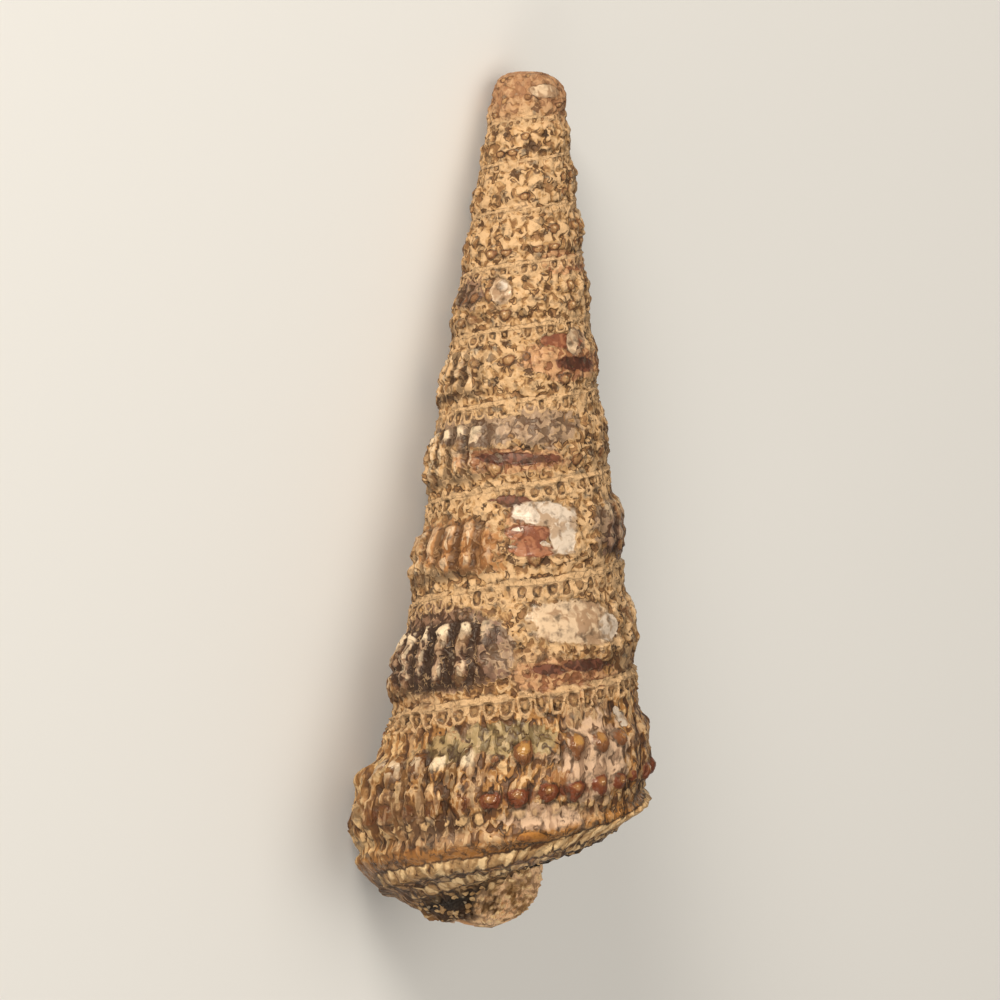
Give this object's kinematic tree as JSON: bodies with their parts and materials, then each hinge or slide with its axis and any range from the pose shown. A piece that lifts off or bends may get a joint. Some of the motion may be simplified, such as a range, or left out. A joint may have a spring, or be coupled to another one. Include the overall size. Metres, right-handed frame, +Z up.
{
  "type": "mud creeper shell",
  "caption": "Tall right-handed spiral snail shell with beaded whorls, a worn-off tip, a beaded keel, a flared lip and a short open canal, lying on its mouth side.",
  "frame": {"origin": "on the surface the shell lies on, under the middle of its bounding box", "axes": "+Z up, +Y along the surface towards the tip of the spire, +X to the side that the mouth faces, seen with the mouth side down"},
  "size_m": [0.0168, 0.0496, 0.0167],
  "materials": {
    "shell": "worn natural shell, matt mud in the grooves and glossy beads"
  },
  "bodies": {
    "root": {"shell": "shell"}
  },
  "joints": []
}
